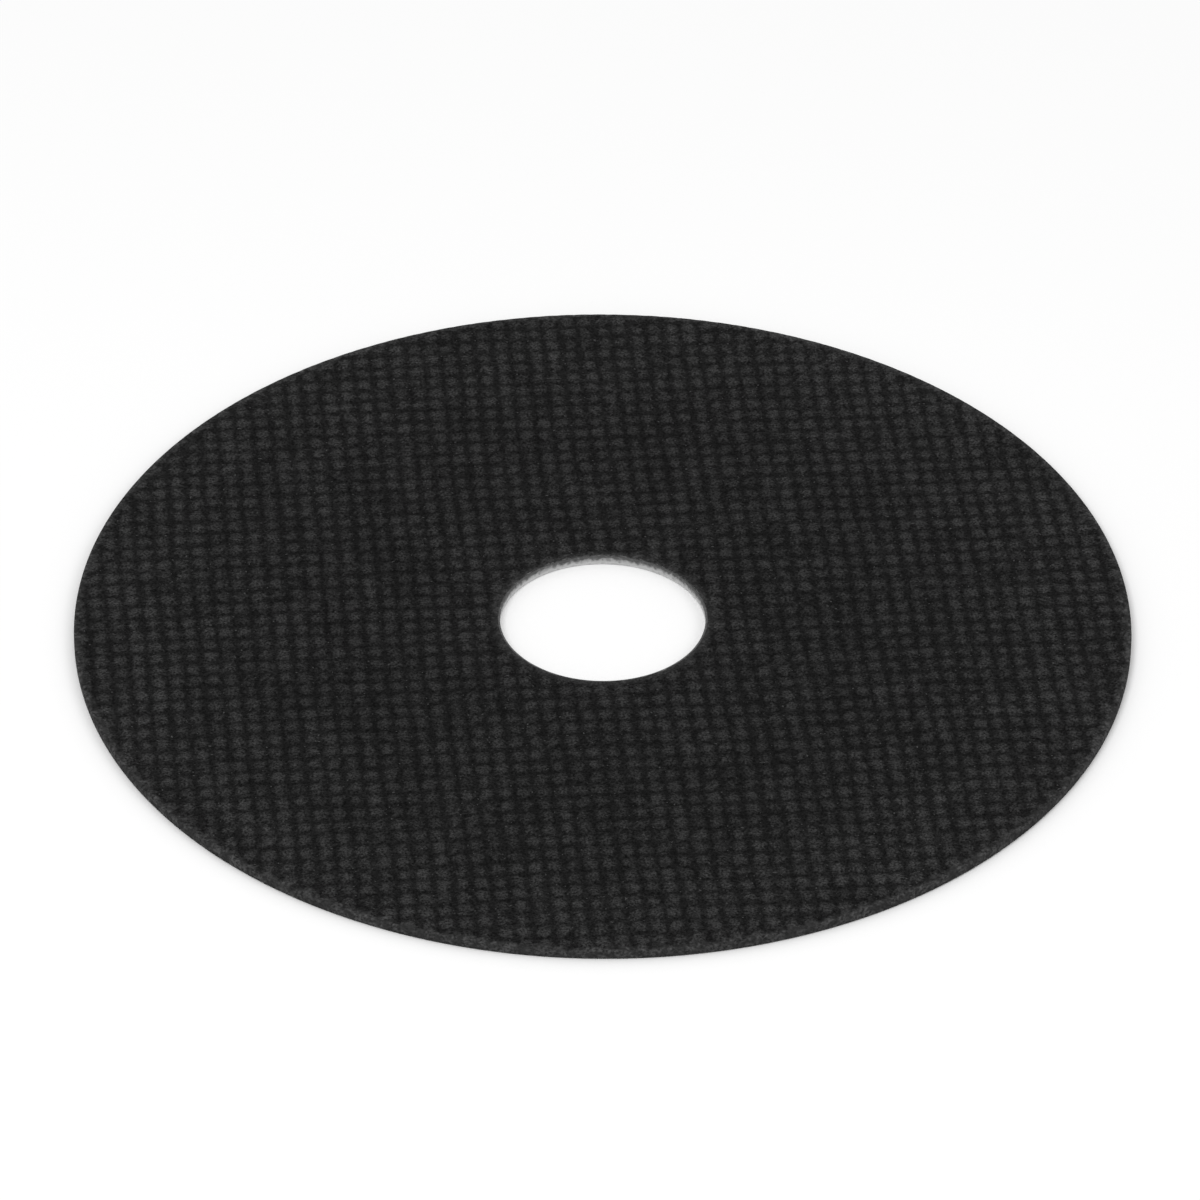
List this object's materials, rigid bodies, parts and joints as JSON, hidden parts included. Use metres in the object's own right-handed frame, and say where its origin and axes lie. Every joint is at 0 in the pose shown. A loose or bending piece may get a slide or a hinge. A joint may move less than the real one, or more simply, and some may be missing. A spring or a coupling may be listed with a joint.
{
  "type": "cut off wheel",
  "caption": "Thin flat abrasive cutting disc with the print of a woven mesh in its faces and a pressed steel ring lining the arbor bore.",
  "frame": {"origin": "middle of the bore, on the face that the wheel lies on", "axes": "+Z along the wheel's axis, up through the face that shows; +Y away from the viewer of the picture, +X to their right"},
  "size_m": [0.1142, 0.1142, 0.0012],
  "materials": {
    "abrasive": "matt charcoal bonded abrasive with a woven print, pads a little paler than the lines",
    "steel": "plain dull steel sheet"
  },
  "bodies": {
    "root": {"abrasive_disc": "abrasive", "bore_ring": "steel"}
  },
  "joints": []
}
